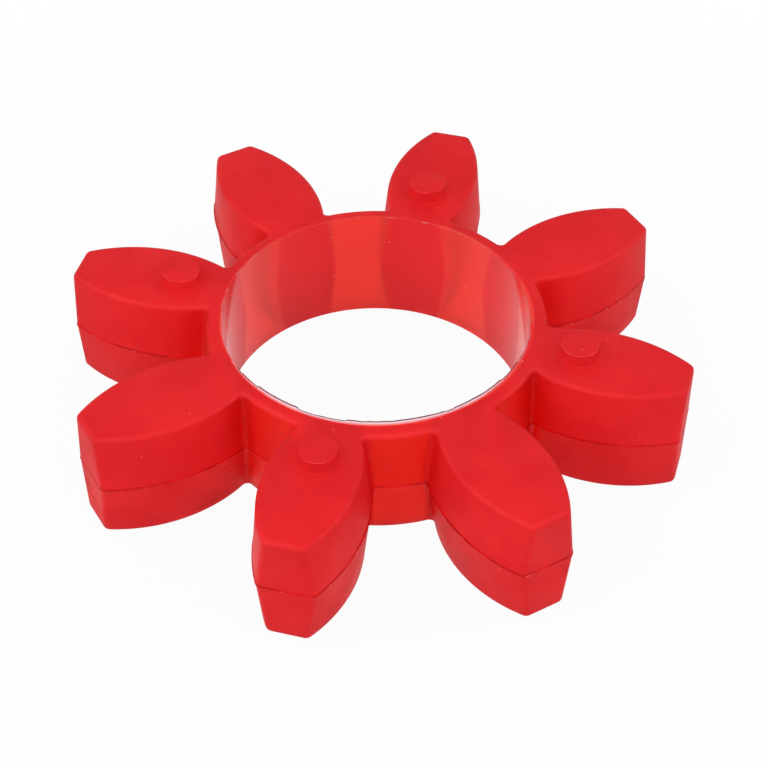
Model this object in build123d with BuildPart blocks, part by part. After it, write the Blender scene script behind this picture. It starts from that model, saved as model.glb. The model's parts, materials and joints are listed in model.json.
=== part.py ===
"""Elastomer spider of an eight-tooth jaw coupling.

The spider is the flexible star that lies between the jaws of two coupling hubs. It is moulded
in one shot in a two-part mould that opens along its axis, so every outer wall leans in from the
parting plane at mid width. Each tooth is a petal with two crowned flanks and a flat tip, all
teeth grow from one thin web round the bore, and small pips on alternate teeth of each face
keep the hubs at their working distance.

Frame, in millimetres: the axis of the bore is Z, the parting plane is Z = 0 and the first
tooth points along +X.
"""

import os
from math import radians, tan

from build123d import *

# The ring
OUTER_DIAMETER = 105.0  # across the tooth tips
BORE_DIAMETER = 51.0
WIDTH = 21.0  # from face to face, without the pips
WEB_AT_PARTING = 3.6  # thickness of the web at the parting plane, where it is thickest
WEB_AT_FACE = 2.5

# The teeth: half widths of a petal where it leaves the web, at its belly and at its flat tip
TEETH = 8
ROOT_HALF_AT_PARTING = 6.4
ROOT_HALF_AT_FACE = 4.8
BELLY_HALF_AT_PARTING = 8.3
BELLY_HALF_AT_FACE = 7.4
TIP_HALF_AT_PARTING = 4.5
TIP_HALF_AT_FACE = 3.2
TIP_LEAN = 0.1  # how far the tip leans in from the parting plane to a face

# Edges
ROOT_EDGE = 0.8  # radius between a flank and the web
TIP_EDGE = 1.3  # radius between a flank and the tip
FACE_EDGE = 0.6  # bevel round the outside of a face
BORE_EDGE = 0.5  # bevel round the bore

# The pips: every second tooth of the upper face, and the teeth between them on the lower face
PIP_DIAMETER = 6.6
PIP_HEIGHT = 2.2
PIP_PLACE = 34.0  # from the axis to the middle of a pip
PIP_DRAFT = 5.0  # degrees
PIP_EDGE = 0.3

outer_radius = OUTER_DIAMETER / 2
bore_radius = BORE_DIAMETER / 2
half_width = WIDTH / 2
web_radius_at_parting = bore_radius + WEB_AT_PARTING
web_radius_at_face = bore_radius + WEB_AT_FACE
root_place = bore_radius + WEB_AT_FACE / 2  # a petal starts inside the web
belly_place = (web_radius_at_face + outer_radius) / 2
tooth_pitch = 360 / TEETH
pips_per_face = TEETH // 2
pip_row = 2 * tooth_pitch * pips_per_face  # a full turn when the count of teeth is even
pip_radius = PIP_DIAMETER / 2
pip_top_radius = pip_radius - PIP_HEIGHT * tan(radians(PIP_DRAFT))


def petal(root_half, belly_half, tip_half, tip_place):
    """Outline of one tooth along +X: two crowned flanks and a flat tip."""
    with BuildSketch() as outline:
        with BuildLine():
            flank = ThreePointArc(
                (root_place, root_half), (belly_place, belly_half), (tip_place, tip_half)
            )
            mirror(flank, about=Plane.XZ)
            Line((tip_place, tip_half), (tip_place, -tip_half))
            Line((root_place, root_half), (root_place, -root_half))
        make_face()
    return outline.sketch


def star(level, web_radius, tooth):
    """Outline of the whole spider at this level: the web, filled, with all teeth on it."""
    with BuildSketch(Plane.XY.offset(level)) as outline:
        Circle(web_radius)
        with PolarLocations(0, TEETH):
            add(tooth)
        roots = outline.vertices().group_by(SortBy.DISTANCE)[0]
        fillet(roots, ROOT_EDGE)
        corners = outline.vertices().group_by(SortBy.DISTANCE)[-1]
        fillet(corners, TIP_EDGE)
    return outline.sketch


tooth_at_parting = petal(
    ROOT_HALF_AT_PARTING, BELLY_HALF_AT_PARTING, TIP_HALF_AT_PARTING, outer_radius
)
tooth_at_face = petal(
    ROOT_HALF_AT_FACE, BELLY_HALF_AT_FACE, TIP_HALF_AT_FACE, outer_radius - TIP_LEAN
)

# What one half of the mould leaves: the star from the parting plane up to the face
with BuildPart() as half:
    star_at_parting = star(0, web_radius_at_parting, tooth_at_parting)
    star_at_face = star(half_width, web_radius_at_face, tooth_at_face)
    loft([star_at_parting, star_at_face], ruled=True)
    Hole(bore_radius)
    chamfer(half.faces().sort_by(Axis.Z)[-1].outer_wire().edges(), FACE_EDGE)
    chamfer(half.faces().sort_by(Axis.Z)[-1].inner_wires()[0].edges(), BORE_EDGE)

# One pip, standing on the plane of a face
with BuildPart(Plane.XY.offset(half_width)) as pip:
    with Locations((PIP_PLACE, 0)):
        Cone(pip_radius, pip_top_radius, PIP_HEIGHT, align=(Align.CENTER, Align.CENTER, Align.MIN))
    chamfer(pip.faces().sort_by(Axis.Z)[-1].edges(), PIP_EDGE)

# The whole spider: both halves, and the pips on both faces
with BuildPart() as spider:
    add(half.part)
    mirror(about=Plane.XY)
    with PolarLocations(0, pips_per_face, start_angle=tooth_pitch, angular_range=pip_row):
        add(pip.part)
    with PolarLocations(0, pips_per_face, angular_range=pip_row):
        add(pip.part.mirror(Plane.XY))
spider.part.label = "spider"

os.makedirs("parts", exist_ok=True)
export_step(spider.part, "parts/spider.step")
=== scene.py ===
"""Elastomer spider of an eight-tooth jaw coupling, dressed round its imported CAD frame."""

import json
from math import atan2, cos, pi, radians, sin

import bmesh
import bpy
import numpy as np
from mathutils import Matrix, Vector


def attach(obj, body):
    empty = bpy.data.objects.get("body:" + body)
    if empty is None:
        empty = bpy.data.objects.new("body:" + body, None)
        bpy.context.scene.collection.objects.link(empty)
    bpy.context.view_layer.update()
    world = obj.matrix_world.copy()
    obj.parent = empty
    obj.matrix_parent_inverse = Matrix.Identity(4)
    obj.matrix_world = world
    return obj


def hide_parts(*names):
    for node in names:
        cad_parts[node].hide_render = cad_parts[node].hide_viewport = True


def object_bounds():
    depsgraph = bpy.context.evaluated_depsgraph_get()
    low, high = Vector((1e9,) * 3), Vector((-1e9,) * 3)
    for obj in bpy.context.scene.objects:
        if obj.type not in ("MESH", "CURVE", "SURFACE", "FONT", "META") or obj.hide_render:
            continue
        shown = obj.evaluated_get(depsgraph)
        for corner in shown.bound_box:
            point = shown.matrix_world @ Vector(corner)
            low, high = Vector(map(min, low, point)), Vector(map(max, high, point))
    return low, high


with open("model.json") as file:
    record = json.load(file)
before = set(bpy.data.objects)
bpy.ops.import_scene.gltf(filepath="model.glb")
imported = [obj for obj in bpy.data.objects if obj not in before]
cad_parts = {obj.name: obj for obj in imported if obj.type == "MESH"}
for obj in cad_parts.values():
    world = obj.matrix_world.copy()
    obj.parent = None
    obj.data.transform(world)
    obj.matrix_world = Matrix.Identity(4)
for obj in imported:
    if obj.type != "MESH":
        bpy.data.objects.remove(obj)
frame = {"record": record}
cad_low, cad_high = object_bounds()
scene = bpy.context.scene

# ---- The wall of the star ------------------------------------------------------------------
# The spider is one casting of red polyurethane: eight petal teeth on a thin web round the bore.
# Its outer wall is what the two halves of the mould leave, so it leans in from the parting
# plane to both faces, and a hair of flash runs round it where the halves met.
mounts = {mount["name"]: mount for mount in frame["record"]["mounts"]}
TEETH = 8
PIP_HEIGHT = 0.0022
OUTER = cad_high.x
BORE = mounts["bore"]["dims"]["r_mm"] / 1000
HALF_WIDTH = mounts["upper_pips"]["pos_m"][2] - PIP_HEIGHT
FLASH = 0.00018
REACH = OUTER - FLASH
WALL_AT_PARTING = dict(web=BORE + 0.0036, root=0.0064, belly=0.0083, tip=0.0045, reach=REACH)
WALL_AT_FACE = dict(web=BORE + 0.0025, root=0.00465, belly=0.0074, tip=0.0032, reach=REACH)
ROOT_PLACE = BORE + 0.00125
BELLY_PLACE = (WALL_AT_FACE["web"] + OUTER) / 2
ROOT_EDGE = 0.0008
TIP_EDGE = 0.0013
FACE_EDGE = 0.00095
FACE_MARGIN = 0.0003  # a last ring inside the round, so that the flat shades flat
BENT_TOOTH = 7  # this one has taken a set
BENT_BY = radians(-1.5)
BEND_START = 0.027  # from the axis, inside the web
BEND_OVER = 0.004


def circle_through(a, b, c):
    """Centre and radius of the circle through three points."""
    rows = 2 * np.array([b - a, c - a])
    centre = np.linalg.solve(rows, np.array([b @ b - a @ a, c @ c - a @ a]))
    return centre, np.linalg.norm(a - centre)


def sweep_arc(centre, start, end, count, hollow=False):
    """count points on the short arc from start to end about centre, with their outward normals."""
    first, last = (atan2(*(p - centre)[::-1]) for p in (start, end))
    turn = (last - first + pi) % (2 * pi) - pi
    angle = first + turn * np.linspace(0, 1, count, endpoint=False)
    way = np.stack([np.cos(angle), np.sin(angle)], 1)
    return centre + np.linalg.norm(start - centre) * way, -way if hollow else way


def half_tooth(web, root, belly, tip, reach, counts=(4, 7, 26, 6, 10)):
    """One side of a tooth from the middle of its tip to the middle of the gap: a straight tip,
    a rounded corner, the circular flank, a hollow root and the web, each tangent to the next.
    Returns points and outward normals."""
    centre, radius = circle_through(
        np.array([ROOT_PLACE, root]), np.array([BELLY_PLACE, belly]), np.array([reach, tip])
    )
    # the corner's circle touches the tip's line and, from inside, the flank's circle
    corner_x = reach - TIP_EDGE
    inner = radius - TIP_EDGE
    corner = np.array([corner_x, centre[1] + np.sqrt(inner**2 - (corner_x - centre[0]) ** 2)])
    # the root's circle touches the web's and the flank's circles from outside
    apart = np.linalg.norm(centre)
    from_axis = web + ROOT_EDGE
    from_flank = radius + ROOT_EDGE
    along = (from_axis**2 - from_flank**2 + apart**2) / (2 * apart)
    across = np.sqrt(from_axis**2 - along**2)
    unit = centre / apart
    hollow = along * unit + across * np.array([-unit[1], unit[0]])
    tip_end = np.array([reach, corner[1]])
    flank_start = centre + radius * (corner - centre) / np.linalg.norm(corner - centre)
    flank_end = centre + radius * (hollow - centre) / np.linalg.norm(hollow - centre)
    web_start = web * hollow / np.linalg.norm(hollow)
    gap = web * np.array([cos(pi / TEETH), sin(pi / TEETH)])
    height = np.linspace(0, tip_end[1], counts[0], endpoint=False)
    stretches = [
        (np.stack([np.full_like(height, reach), height], 1), np.tile([1.0, 0.0], (counts[0], 1))),
        sweep_arc(corner, tip_end, flank_start, counts[1]),
        sweep_arc(centre, flank_start, flank_end, counts[2]),
        sweep_arc(hollow, flank_end, web_start, counts[3], hollow=True),
        sweep_arc(np.zeros(2), web_start, gap, counts[4]),
        (gap[None], gap[None] / web),
    ]
    return tuple(np.vstack(part) for part in zip(*stretches))


def turned(points, angle):
    """Points of the plane turned about the axis, each by its own angle."""
    x, y = points.T
    return np.stack([x * np.cos(angle) - y * np.sin(angle), x * np.sin(angle) + y * np.cos(angle)], 1)


def star_outline(**sizes):
    """The closed outline of the star and its outward normals: the half tooth with its mirror
    image, turned to each of the eight places. The bent tooth turns by its set on top of that,
    which fades out in the web."""
    points, normals = half_tooth(**sizes)
    flip = np.array([1, -1])
    cell = np.vstack([(points * flip)[:0:-1], points[:-1]])
    facing = np.vstack([(normals * flip)[:0:-1], normals[:-1]])
    ease = np.clip((np.linalg.norm(cell, axis=1) - BEND_START) / BEND_OVER, 0, 1)
    ease = ease * ease * (3 - 2 * ease)
    turns = [2 * pi * k / TEETH + BENT_BY * (k == BENT_TOOTH) * ease for k in range(TEETH)]
    return [np.vstack([turned(part, turn) for turn in turns]) for part in (cell, facing)]


def half_wall(steps=8):
    """Rings of the wall from the flat of a face down to the parting plane, as a grid of
    (ring, place, xyz). The outline goes linearly from its shape at the parting plane to its
    shape at the face. A quarter round of FACE_EDGE, tangent to the leaning wall, turns it into
    the flat, and the flash stands out of the last half millimetre by an uneven height."""
    low, _ = star_outline(**WALL_AT_PARTING)
    high, facing = star_outline(**WALL_AT_FACE)

    def outline_at(level):
        share = (level / HALF_WIDTH)[:, None]
        return low * (1 - share) + high * share

    draft = np.arctan2(np.sum((low - high) * facing, 1), HALF_WIDTH)
    round_start = HALF_WIDTH - FACE_EDGE * (1 - np.sin(draft))
    wall = outline_at(round_start)
    on_flat = wall - facing * (FACE_EDGE * np.cos(draft) + FACE_MARGIN)[:, None]
    rings = [np.column_stack([on_flat, np.full(len(wall), HALF_WIDTH)])]
    for share in np.linspace(0, 1, steps + 1):
        angle = pi / 2 * (1 - share) + draft * share
        inset = FACE_EDGE * (np.cos(draft) - np.cos(angle))
        level = HALF_WIDTH - FACE_EDGE * (1 - np.sin(angle))
        rings.append(np.column_stack([wall - facing * inset[:, None], level]))
    for share in (0.8, 0.6, 0.4, 0.2):
        level = round_start * share
        rings.append(np.column_stack([outline_at(level), level]))
    # an uneven height: waves along the outline, weaker the shorter they are
    rng = np.random.default_rng(8)
    run = np.cumsum(np.linalg.norm(np.diff(low, axis=0, append=low[:1]), axis=1))
    ripple = np.zeros(len(low))
    for k in range(1, 60):
        strength = rng.normal() / k**0.5
        ripple += strength * np.cos(2 * pi * k * run / run[-1] + rng.uniform(0, 2 * pi))
    ripple = 0.55 + 0.45 * np.clip(ripple / 4, -1, 1)
    for height, share in ((0.00030, 0.0), (0.00016, 0.15), (0.00008, 0.75), (0.0, 1.0)):
        level = np.full(len(low), height)
        stands_out = facing * (FLASH * share * ripple)[:, None]
        rings.append(np.column_stack([outline_at(level) + stands_out, level]))
    return np.stack(rings)


# the lower half is the upper one's mirror image in the parting plane, whose ring they share
upper_wall = half_wall()
star_wall = np.concatenate([upper_wall, upper_wall[-2::-1] * np.array([1, 1, -1])])

# ---- The bore ------------------------------------------------------------------------------
# The hole is left by a polished steel core, so its wall is glossy where the rest is matt. Where
# the core met the plate of the mould, the casting has run out into a thin, clear, ragged lip
# that stands up along the edge. The core sat a little off centre.
CORE_SHIFT = np.array([-0.00017, 0.00010])
LIP_THICKNESS = 0.00007
LOWER_LIP = 0.00004
# the lip's stretches: where each starts, in degrees round the bore, and its height in mm
LIP_STRETCHES = (
    (0, 0.10), (38, 0.18), (77, 0.08), (112, 0.20), (150, 0.14), (176, 0.28), (184, 0.50), (194, 0.92),
    (212, 0.50), (230, 0.82), (265, 0.58), (269, 0.82), (291, 0.55), (303, 0.25), (321, 0.12), (360, 0.10),
)


def lip_height(degrees):
    """How far the upper lip stands above the face at this place round the bore, in metres: a
    run of stretches, each with its own height, that change over into each other within a
    degree, and a fine ripple on them."""
    starts, heights = np.array(LIP_STRETCHES).T
    height = np.full(len(degrees), heights[0])
    for start, rise in zip(starts[1:], np.diff(heights)):
        height += rise * np.clip(degrees - start + 0.5, 0, 1)
    rng = np.random.default_rng(5)
    for k in range(9, 90):
        strength = 0.05 / k**0.6 * rng.normal()
        height += strength * np.cos(radians(1) * k * degrees + rng.uniform(0, 2 * pi))
    return np.maximum(height, 0.05) / 1000


def half_bore(side, around=960):
    """Rings from the flat of a face over the lip and down the cylinder to mid width. Each point
    of the lip's profile is (distance from the bore's wall, rise, share of the lip's height)."""
    degrees = np.linspace(0, 360, around, endpoint=False)
    way = np.stack([np.cos(np.radians(degrees)), np.sin(np.radians(degrees))], 1)
    lip = lip_height(degrees) if side > 0 else np.full(around, LOWER_LIP)
    profile = (
        (0.0010, 0, 0),
        (0.00024, 0, 0),
        (0.00013, 0.00003, 0),
        (LIP_THICKNESS, 0, 0.4),
        (LIP_THICKNESS * 0.9, -0.00003, 1),
        (LIP_THICKNESS / 2, 0, 1),
        (0, -0.00003, 1),
        (0, 0, 0.4),
        (0, 0, 0),
    )
    rings = [
        np.column_stack([(BORE + out) * way + CORE_SHIFT, side * (HALF_WIDTH + up + share * lip)])
        for out, up, share in profile
    ]
    for share in (0.98, 0.8, 0.6, 0.4, 0.2, 0):
        level = np.full(around, side * HALF_WIDTH * share)
        rings.append(np.column_stack([BORE * way + CORE_SHIFT, level]))
    return np.stack(rings)


bore_wall = np.concatenate([half_bore(1), half_bore(-1)[-2::-1]])

# ---- The pips ------------------------------------------------------------------------------
# Short pegs cast on every second tooth of each face. They keep the spider off the backs of the
# hubs, and have a tight foot and a crisp top edge with a highlight painted on it in places.
PIP_RADIUS = 0.0033
PIP_TOP_RADIUS = PIP_RADIUS - 0.00019
PIP_EDGE = 0.00018
PIP_FOOT = 0.00012
PIP_BENT_BY = radians(-0.6)  # a pip stands near the root, where the bent tooth moves less
PIP_PLACE = np.hypot(*mounts["upper_pips"]["pos_m"][:2])


def pip(tooth, side, around=64):
    """A turned peg as rings about its own axis: a hollow quarter round at the foot, a leaning
    wall, a quarter round at the top and the flat. Each ring is (radius, height)."""
    quarter = np.linspace(0, pi / 2, 6)
    profile = [(PIP_RADIUS + PIP_FOOT + 0.0002, 0)]
    profile += [(PIP_RADIUS + PIP_FOOT * (1 - sin(a)), PIP_FOOT * (1 - cos(a))) for a in quarter]
    profile += [
        (PIP_TOP_RADIUS - PIP_EDGE * (1 - cos(a)), PIP_HEIGHT - PIP_EDGE * (1 - sin(a))) for a in quarter
    ]
    profile += [(PIP_TOP_RADIUS - PIP_EDGE - 0.0003, PIP_HEIGHT), (0.0015, PIP_HEIGHT), (0, PIP_HEIGHT)]
    turn = np.linspace(0, 2 * pi, around, endpoint=False)
    ring = np.stack([np.cos(turn), np.sin(turn)], 1)
    way = 2 * pi * tooth / TEETH + PIP_BENT_BY * (tooth == BENT_TOOTH)
    middle = PIP_PLACE * np.array([cos(way), sin(way)])
    return np.stack([
        np.column_stack([middle + radius * ring, np.full(around, side * (HALF_WIDTH + height))])
        for radius, height in profile
    ])


pips = [pip(k, 1) for k in range(1, TEETH, 2)] + [pip(k, -1) for k in range(0, TEETH, 2)]


# ---- The casting ---------------------------------------------------------------------------
# Wall, bore and pips come out of the mould as one body, with flat faces between them. The
# rubber is matt, red and a little see-through: thin as it is between the teeth, the web lets
# the light through and looks orange, and behind a tooth it looks deep red.
def grid_faces(rings, around, start):
    """Quads of a grid that closes on itself sideways, numbered from start."""
    ring, place = np.meshgrid(np.arange(rings - 1), np.arange(around), indexing="ij")
    here = start + ring * around + place
    beside = start + ring * around + (place + 1) % around
    return np.stack([here, beside, beside + around, here + around], -1).reshape(-1, 4)


points, faces, count = [], [], 0
for grid in (star_wall, bore_wall, *pips):
    rings, around = grid.shape[:2]
    points.append(grid.reshape(-1, 3))
    faces.append(grid_faces(rings, around, count))
    count += rings * around
mesh = bpy.data.meshes.new("spider_casting")
mesh.from_pydata(np.vstack(points), [], np.vstack(faces).tolist())
work = bmesh.new()
work.from_mesh(mesh)
bmesh.ops.remove_doubles(work, verts=work.verts, dist=1e-7)
for side in (1, -1):
    rim = [e for e in work.edges if e.is_boundary and e.verts[0].co.z * side > 0]
    bmesh.ops.triangle_fill(work, edges=rim, use_beauty=True, normal=(0, 0, side))
bmesh.ops.recalc_face_normals(work, faces=work.faces)
work.to_mesh(mesh)
work.free()
mesh.polygons.foreach_set("use_smooth", np.ones(len(mesh.polygons), bool))
# how much of each point belongs to the clear lip (1) and to its very rim (2), which gets a painted dark
# line, where it is tall
spot = np.empty(3 * len(mesh.vertices))
mesh.vertices.foreach_get("co", spot)
spot = spot.reshape(-1, 3)
from_core = spot[:, :2] - CORE_SHIFT
near = np.hypot(*from_core.T) < BORE + 0.00015
rise = spot[:, 2] - HALF_WIDTH
full = lip_height(np.degrees(np.arctan2(*from_core.T[::-1])) % 360)
tall = np.clip((full - 0.0002) / 0.0001, 0, 1)
lip_share = near * tall * (np.clip(rise / 0.00006, 0, 1) + (rise > full - 0.00006))
mesh.attributes.new("lip", "FLOAT", "POINT").data.foreach_set("value", lip_share)
casting = bpy.data.objects.new("spider_casting", mesh)
scene.collection.objects.link(casting)

rubber = bpy.data.materials.new("red_polyurethane")
rubber.use_nodes = True
nodes, links = rubber.node_tree.nodes, rubber.node_tree.links
shader = nodes["Principled BSDF"]


def plug(value, socket):
    """Gives a socket a value, or links it to another socket."""
    if isinstance(value, bpy.types.NodeSocket):
        links.new(value, socket)
    else:
        socket.default_value = value


def work_out(operation, first, second=0.0):
    """A math node on two values or sockets, in the tree at hand."""
    node = nodes.new("ShaderNodeMath")
    node.operation = operation
    plug(first, node.inputs[0])
    plug(second, node.inputs[1])
    return node.outputs["Value"]


def fade(value, start, end):
    """A smooth step from 1 at start to 0 at end."""
    node = nodes.new("ShaderNodeMapRange")
    node.interpolation_type = "SMOOTHSTEP"
    node.inputs["From Min"].default_value = start
    node.inputs["From Max"].default_value = end
    node.inputs["To Min"].default_value = 1
    node.inputs["To Max"].default_value = 0
    links.new(value, node.inputs["Value"])
    return node.outputs["Result"]


def blend(share, first, second):
    """first where share is 0 and second where it is 1, for numbers, colours and sockets."""
    node = nodes.new("ShaderNodeMix")
    coloured = any(isinstance(v, tuple) or getattr(v, "type", "") == "RGBA" for v in (first, second))
    node.data_type = "RGBA" if coloured else "FLOAT"
    start = 6 if coloured else 2
    links.new(share, node.inputs[0])
    for socket, value in zip(node.inputs[start : start + 2], (first, second)):
        plug((*value, 1) if isinstance(value, tuple) else value, socket)
    return node.outputs[2 if coloured else 0]


place_node = nodes.new("ShaderNodeTexCoord")


def noise(scale, detail):
    """Soft noise through the solid, with this many blobs to the metre."""
    node = nodes.new("ShaderNodeTexNoise")
    node.inputs["Scale"].default_value = scale
    node.inputs["Detail"].default_value = detail
    links.new(place_node.outputs["Object"], node.inputs["Vector"])
    return node.outputs["Fac"]


# places on the part: the bore, the web between two teeth, the roots (for painted shade), the rubber behind
# a tooth
parts = nodes.new("ShaderNodeSeparateXYZ")
links.new(place_node.outputs["Object"], parts.inputs[0])
x, y, z = parts.outputs
level = work_out("ABSOLUTE", z)
radius = work_out("SQRT", work_out("ADD", work_out("MULTIPLY", x, x), work_out("MULTIPLY", y, y)))
off_tooth = work_out("PINGPONG", work_out("ARCTAN2", y, x), pi / TEETH)
in_bore = fade(radius, BORE + 0.0003, BORE + 0.0006)
outside_bore = work_out("SUBTRACT", 1, in_bore)
below_face = fade(level, HALF_WIDTH - 0.0012, HALF_WIDTH - 0.0002)
in_gap = work_out("SUBTRACT", 1, fade(off_tooth, radians(12.5), radians(15)))
web_wall = work_out("MULTIPLY", fade(radius, BORE + 0.0040, BORE + 0.0075), below_face)
on_web = work_out("MULTIPLY", web_wall, in_gap)
root_painted_shade = work_out("MULTIPLY", fade(radius, BORE + 0.0045, BORE + 0.0085), below_face)
# a root is narrower at the faces than in the parting plane
root_angle = work_out("ADD", off_tooth, work_out("MULTIPLY", level, radians(3.2) / HALF_WIDTH))
behind_tooth = fade(root_angle, radians(12.5), radians(14.5))
lip = nodes.new("ShaderNodeAttribute")
lip.attribute_name = "lip"
on_lip = work_out("MINIMUM", lip.outputs["Fac"], 1)
painted_dark_rim = fade(lip.outputs["Fac"], 1.9, 1.2)

# the colour, cloudy outside; orange painted where light comes through the thin web, and painted shade
# behind a tooth
clouds = fade(noise(110, 3), 0.62, 0.38)
outside = blend(clouds, (0.735, 0.026, 0.032), (0.690, 0.021, 0.028))
# painted shade: a darker, deeper red in the corners by the roots
outside = blend(root_painted_shade, outside, (0.64, 0.011, 0.013))
# painted light and shade on the bore wall: brighter orange where light comes through the web, darker red
# behind a tooth
bore_painted_light_and_shade = blend(behind_tooth, (0.86, 0.036, 0.020), (0.68, 0.008, 0.012))
colour = blend(in_bore, blend(on_web, outside, (0.77, 0.034, 0.020)), bore_painted_light_and_shade)
# the line where the mould parted: painted shade in a band just above the flash, with small painted
# highlights along the flash's edge
seam_painted_shade = fade(work_out("ABSOLUTE", work_out("SUBTRACT", z, 0.0002)), 0.00012, 0.0003)
seam_painted_shade = work_out("MULTIPLY", seam_painted_shade, outside_bore)
seam_shade_colour = blend(fade(noise(300, 2), 0.6, 0.4), (0.44, 0.006, 0.010), (0.66, 0.010, 0.014))
colour = blend(seam_painted_shade, colour, seam_shade_colour)
# painted highlights: small bright places along the edge of the flash
flash_painted_glints = work_out("MULTIPLY", fade(level, 0.00008, 0.00014), fade(noise(1400, 1), 0.70, 0.64))
colour = blend(work_out("MULTIPLY", flash_painted_glints, outside_bore), colour, (0.95, 0.20, 0.20))
# painted highlight: the top edge of a pip, paler in places
edge = work_out("ABSOLUTE", work_out("SUBTRACT", level, HALF_WIDTH + PIP_HEIGHT - 0.00008))
pip_edge_painted_highlight = work_out("MULTIPLY", fade(edge, 0.00003, 0.00006), fade(noise(330, 1), 0.60, 0.46))
colour = blend(pip_edge_painted_highlight, colour, (0.88, 0.09, 0.10))
# specks of dust from the mould, in about half of the cells
cells = nodes.new("ShaderNodeTexVoronoi")
cells.inputs["Scale"].default_value = 330
links.new(place_node.outputs["Object"], cells.inputs["Vector"])
pick = nodes.new("ShaderNodeSeparateColor")
links.new(cells.outputs["Color"], pick.inputs[0])
dust = fade(cells.outputs["Distance"], 0.028, 0.045)
speck = work_out("MULTIPLY", dust, work_out("GREATER_THAN", pick.outputs[0], 0.55))
colour = blend(speck, colour, (0.96, 0.32, 0.32))
# the lip is nearly clear, with a painted dark line at its rim where the thin edge bends the light away
colour = blend(on_lip, colour, (1.0, 0.76, 0.84))
colour = blend(painted_dark_rim, colour, (0.06, 0.002, 0.008))
clear = blend(in_bore, blend(on_web, 0.6, 0.95), blend(behind_tooth, 0.55, 0.25))
clear = blend(painted_dark_rim, blend(on_lip, clear, 1.0), 0.2)
rough = blend(on_lip, blend(in_bore, blend(clouds, 0.46, 0.54), 0.08), 0.03)
grain = nodes.new("ShaderNodeBump")
grain.inputs["Strength"].default_value = 0.35
grain.inputs["Distance"].default_value = 0.0001
links.new(work_out("MULTIPLY", noise(900, 3), outside_bore), grain.inputs["Height"])
links.new(grain.outputs["Normal"], shader.inputs["Normal"])
links.new(colour, shader.inputs["Base Color"])
links.new(clear, shader.inputs["Transmission Weight"])
links.new(rough, shader.inputs["Roughness"])
links.new(work_out("MULTIPLY", in_bore, 0.6), shader.inputs["Coat Weight"])
shader.inputs["Coat Roughness"].default_value = 0.12
shader.inputs["Coat IOR"].default_value = 1.35
shader.inputs["IOR"].default_value = 1.25
shader.inputs["Specular IOR Level"].default_value = 0.05
tint = nodes.new("ShaderNodeVolumeAbsorption")
tint.inputs["Color"].default_value = (1, 0.8, 0.75, 1)
tint.inputs["Density"].default_value = 1000
links.new(tint.outputs["Volume"], nodes["Material Output"].inputs["Volume"])
scene.cycles.max_bounces = 24
scene.cycles.transmission_bounces = 24
mesh.materials.append(rubber)
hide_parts("spider")
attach(casting, "root")

# ---- The table -----------------------------------------------------------------------------
# A wide sheet of white paper that the lower pips stand on. It takes a faint shadow next to the
# spider, fades to plain white away from it, and isn't there when looked at from below.
FLOOR_HALF = 3.0
FLOOR_LEVEL = cad_low.z - 0.00005
floor_mesh = bpy.data.meshes.new("floor")
corners = [(u * FLOOR_HALF, v * FLOOR_HALF, FLOOR_LEVEL) for u, v in ((-1, -1), (1, -1), (1, 1), (-1, 1))]
floor_mesh.from_pydata(corners, [], [(0, 1, 2, 3)])
floor = bpy.data.objects.new("floor", floor_mesh)
scene.collection.objects.link(floor)
paper = bpy.data.materials.new("white_paper")
paper.use_nodes = True
nodes, links = paper.node_tree.nodes, paper.node_tree.links


def seen_white():
    """1 for rays from the camera, or by way of a reflection or clear rubber, and else 0."""
    path = nodes.new("ShaderNodeLightPath").outputs
    direct = work_out("ADD", path["Is Camera Ray"], path["Is Glossy Ray"])
    return work_out("MINIMUM", work_out("ADD", direct, path["Is Transmission Ray"]), 1)


def mix_shaders(share, first, second):
    """first where share is 0 and second where it is 1."""
    node = nodes.new("ShaderNodeMixShader")
    for socket, value in zip(node.inputs, (share, first, second)):
        links.new(value, socket)
    return node.outputs[0]


sheet = nodes["Principled BSDF"]
sheet.inputs["Base Color"].default_value = (0.5, 0.5, 0.5, 1)
sheet.inputs["Roughness"].default_value = 0.9
sheet.inputs["Specular IOR Level"].default_value = 0
plain_white = nodes.new("ShaderNodeEmission")
apart = nodes.new("ShaderNodeVectorMath")
apart.operation = "LENGTH"
links.new(nodes.new("ShaderNodeTexCoord").outputs["Object"], apart.inputs[0])
white_share = nodes.new("ShaderNodeMapRange")
white_share.inputs["From Min"].default_value = 0.05
white_share.inputs["From Max"].default_value = 0.16
white_share.inputs["To Min"].default_value = 0.95
white_share.inputs["To Max"].default_value = 1
links.new(apart.outputs["Value"], white_share.inputs["Value"])
whiteness = work_out("MULTIPLY", seen_white(), white_share.outputs["Result"])
top_side = mix_shaders(whiteness, sheet.outputs[0], plain_white.outputs[0])
backfacing = nodes.new("ShaderNodeNewGeometry").outputs["Backfacing"]
both_sides = mix_shaders(backfacing, top_side, nodes.new("ShaderNodeBsdfTransparent").outputs[0])
links.new(both_sides, nodes["Material Output"].inputs["Surface"])
floor_mesh.materials.append(paper)

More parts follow.
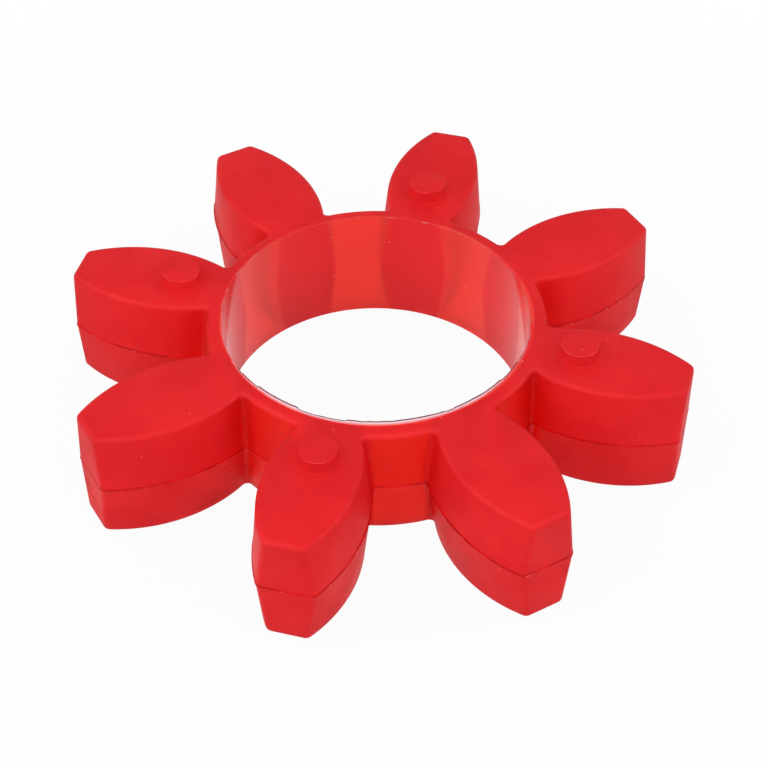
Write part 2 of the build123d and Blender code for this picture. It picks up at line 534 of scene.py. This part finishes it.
# ---- The light -----------------------------------------------------------------------------
# A white studio: an even glow from all round, a large soft lamp over the front, and one softbox
# at each side that reaches the walls of the bore.
GLOW = 0.45
world = bpy.data.worlds.new("studio")
scene.world = world
world.use_nodes = True
nodes, links = world.node_tree.nodes, world.node_tree.links
sky = nodes["Background"]
sky.inputs["Color"].default_value = (1, 1, 1, 1)
links.new(work_out("ADD", work_out("MULTIPLY", seen_white(), 1 - GLOW), GLOW), sky.inputs["Strength"])


def softbox(name, place, aim, size, watts):
    """A square lamp at place, turned to aim."""
    lamp = bpy.data.lights.new(name, "AREA")
    lamp.size = size
    lamp.energy = watts
    holder = bpy.data.objects.new(name, lamp)
    holder.location = place
    holder.rotation_euler = (Vector(aim) - Vector(place)).to_track_quat("-Z", "Y").to_euler()
    scene.collection.objects.link(holder)


softbox("key", (-0.190, -0.235, 0.27), (-0.01, -0.02, 0), 0.45, 1.36)
softbox("right", (0.40, -0.33, 0.3), (0, 0, 0), 0.4, 2.0)
softbox("left", (-0.42, 0.11, 0.3), (0, 0, 0), 0.4, 1.8)

# ---- The camera ----------------------------------------------------------------------------
# It looks down on the spider from 44 degrees, along a line 30 degrees off the frame's Y axis.
TURN, TILT, ROLL = radians(30.144), radians(43.765), radians(-0.246)
SPIDER_SEEN_FROM_CAMERA = np.array([-0.001219, 0.0037311, 0.322287])  # right, up, away
about = np.array([[cos(TURN), -sin(TURN), 0], [sin(TURN), cos(TURN), 0], [0, 0, 1]])
look = np.array([[1, 0, 0], [0, sin(TILT), cos(TILT)], [0, cos(TILT), -sin(TILT)]])
lean = np.array([[cos(ROLL), -sin(ROLL), 0], [sin(ROLL), cos(ROLL), 0], [0, 0, 1]])
axes = lean @ look @ about
right, up, away = axes
view = np.eye(4)
view[:3] = np.column_stack([right, up, -away, -axes.T @ SPIDER_SEEN_FROM_CAMERA])
lens = bpy.data.cameras.new("camera")
lens.sensor_width = 36
lens.lens = 89.64
camera = bpy.data.objects.new("camera", lens)
camera.matrix_world = Matrix(view)
scene.collection.objects.link(camera)
scene.camera = camera
scene.view_settings.view_transform = "Standard"
